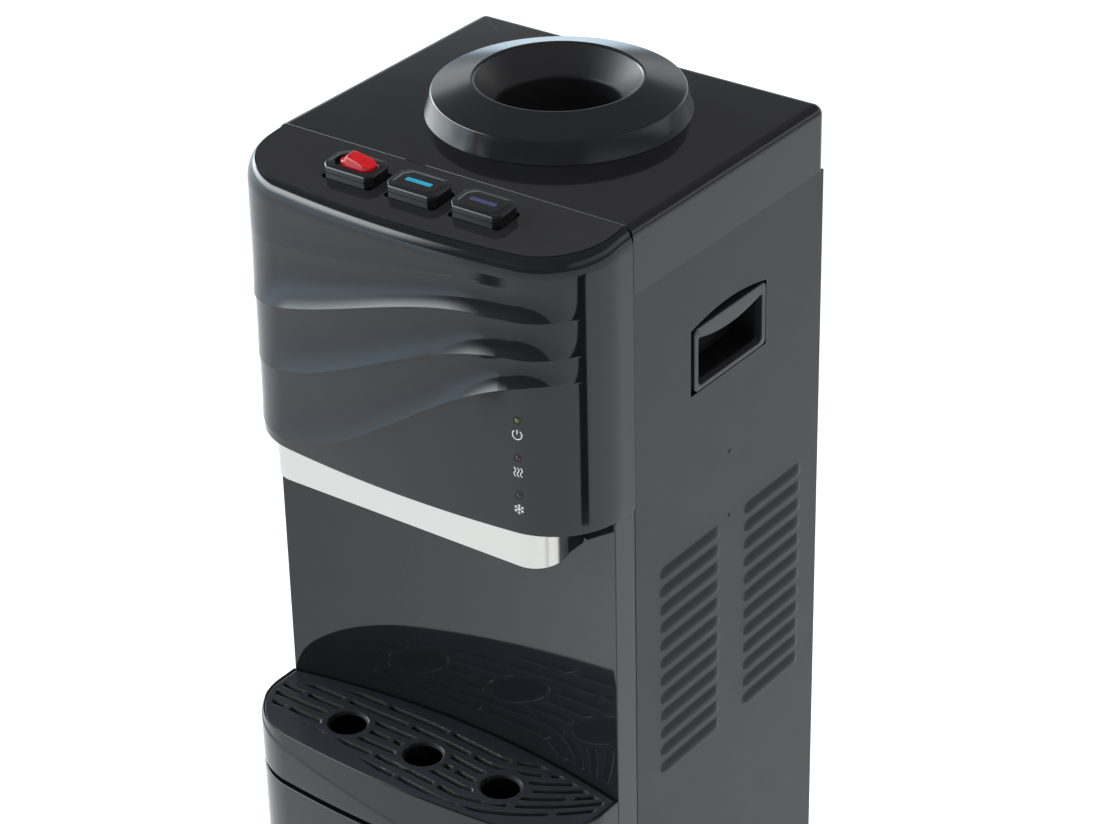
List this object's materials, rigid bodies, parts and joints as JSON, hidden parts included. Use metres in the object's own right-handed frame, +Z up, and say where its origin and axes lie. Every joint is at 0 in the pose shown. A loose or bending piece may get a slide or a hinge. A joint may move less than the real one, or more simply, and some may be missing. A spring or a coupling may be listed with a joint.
{
  "type": "bottled water cooler",
  "caption": "Floor-standing bottled water cooler with a bottle collar on top, push-button taps over a drip tray, and a storage cabinet behind a bowed door.",
  "frame": {"origin": "on the floor, below the middle of the outer box", "axes": "+Z up, front with the taps towards -Y, +X to the right seen from the front"},
  "size_m": [0.3148, 0.3682, 0.9765],
  "materials": {
    "gloss_dark_plastic": "moulded, polished",
    "satin_grey_plastic": "moulded, satin gloss",
    "charcoal_sheet": "powder coated, satin",
    "bright_steel": "bright drawn",
    "tank_steel": "rolled",
    "white_foam": "bead foam",
    "copper_tube": "drawn copper",
    "black_rubber": "moulded",
    "black_enamel": "black enamel",
    "zinc_sheet": "galvanised",
    "circuit_board": "solder resist",
    "silicone_tube": "food grade silicone",
    "white_plastic": "moulded",
    "red_plastic": "moulded",
    "navy_plastic": "moulded",
    "cyan_plastic": "moulded",
    "lamp_lens": "tinted clear",
    "inner_plastic": "moulded, fine texture"
  },
  "bodies": {
    "cabinet": {"top_lid": "gloss_dark_plastic", "head_fascia": "satin_grey_plastic", "control_deck": "satin_grey_plastic", "indicator_lamps": "lamp_lens", "indicator_board": "circuit_board", "tap_housing": "gloss_dark_plastic", "bright_trim": "bright_steel", "hot_tap": "white_plastic", "cold_tap": "white_plastic", "normal_tap": "white_plastic", "return_springs": "bright_steel", "alcove_panel": "gloss_dark_plastic", "lower_front_frame": "gloss_dark_plastic", "plinth": "gloss_dark_plastic", "door_hinge_pins": "bright_steel", "storage_liner": "inner_plastic", "door_catch": "inner_plastic", "base_pan": "zinc_sheet", "rubber_feet": "black_rubber", "left_side_panel": "charcoal_sheet", "right_side_panel": "charcoal_sheet", "left_hand_hold": "gloss_dark_plastic", "right_hand_hold": "gloss_dark_plastic", "rear_panel": "zinc_sheet", "condenser_tube": "black_enamel", "condenser_wires": "black_enamel", "rear_switch_frame": "inner_plastic", "cord_gland": "black_rubber", "drain_outlet": "white_plastic", "tank_shelf": "zinc_sheet", "side_screws": "bright_steel", "divider_shelf": "zinc_sheet", "cold_tank": "tank_steel", "tank_insulation": "white_foam", "cold_tank_cover": "white_foam", "evaporator_coil": "copper_tube", "hot_tank": "tank_steel", "heater_band": "bright_steel", "hot_tank_jacket": "white_foam", "water_tubes": "silicone_tube", "compressor": "black_enamel", "compressor_grommets": "black_rubber", "refrigerant_lines": "copper_tube"},
    "hot_button": {"hot_button": "satin_grey_plastic", "hot_push_rod": "white_plastic"},
    "child_lock": {"child_lock_slide": "red_plastic"},
    "cold_button": {"cold_button": "satin_grey_plastic", "cold_button_bar": "cyan_plastic", "cold_push_rod": "white_plastic"},
    "normal_button": {"normal_button": "satin_grey_plastic", "normal_button_bar": "navy_plastic", "normal_push_rod": "white_plastic"},
    "bottle_collar": {"bottle_collar": "gloss_dark_plastic"},
    "drip_tray": {"drip_tray": "gloss_dark_plastic"},
    "drip_grille": {"drip_grille": "gloss_dark_plastic"},
    "cabinet_door": {"door_shell": "gloss_dark_plastic", "door_liner": "inner_plastic"},
    "hot_switch": {"hot_switch_rocker": "red_plastic"},
    "cold_switch": {"cold_switch_rocker": "navy_plastic"},
    "drain_cap": {"drain_cap": "white_plastic"}
  },
  "joints": [
    {"name": "hot_press", "type": "slide", "parent": "cabinet", "child": "hot_button", "axis": [0, 0, -1], "range_m": [0, 0.004], "stiffness_N_per_m": 400, "springref_m": -0.002, "deforming": ["return_springs"]},
    {"name": "lock_slide", "type": "slide", "parent": "hot_button", "child": "child_lock", "axis": [-1, 0, 0], "range_m": [0, 0.0042]},
    {"name": "cold_press", "type": "slide", "parent": "cabinet", "child": "cold_button", "axis": [0, 0, -1], "range_m": [0, 0.004], "stiffness_N_per_m": 400, "springref_m": -0.002, "deforming": ["return_springs"]},
    {"name": "normal_press", "type": "slide", "parent": "cabinet", "child": "normal_button", "axis": [0, 0, -1], "range_m": [0, 0.004], "stiffness_N_per_m": 400, "springref_m": -0.002, "deforming": ["return_springs"]},
    {"name": "collar_lift", "type": "slide", "parent": "cabinet", "child": "bottle_collar", "axis": [0, 0, 1], "range_m": [0, 0.06]},
    {"name": "tray_pull", "type": "slide", "parent": "cabinet", "child": "drip_tray", "axis": [0, -1, 0], "range_m": [0, 0.12]},
    {"name": "grille_lift", "type": "slide", "parent": "drip_tray", "child": "drip_grille", "axis": [0, 0, 1], "range_m": [0, 0.06]},
    {"name": "door_swing", "type": "hinge", "parent": "cabinet", "child": "cabinet_door", "pos_m": [-0.139, -0.1571, 0.25], "axis": [0, 0, -1], "range_deg": [0, 110]},
    {"name": "hot_rock", "type": "hinge", "parent": "cabinet", "child": "hot_switch", "pos_m": [-0.109, 0.1636, 0.33], "axis": [1, 0, 0], "range_deg": [-10, 10]},
    {"name": "cold_rock", "type": "hinge", "parent": "cabinet", "child": "cold_switch", "pos_m": [-0.075, 0.1636, 0.33], "axis": [1, 0, 0], "range_deg": [-10, 10]},
    {"name": "cap_off", "type": "slide", "parent": "cabinet", "child": "drain_cap", "axis": [0, 1, 0], "range_m": [0, 0.03]}
  ]
}
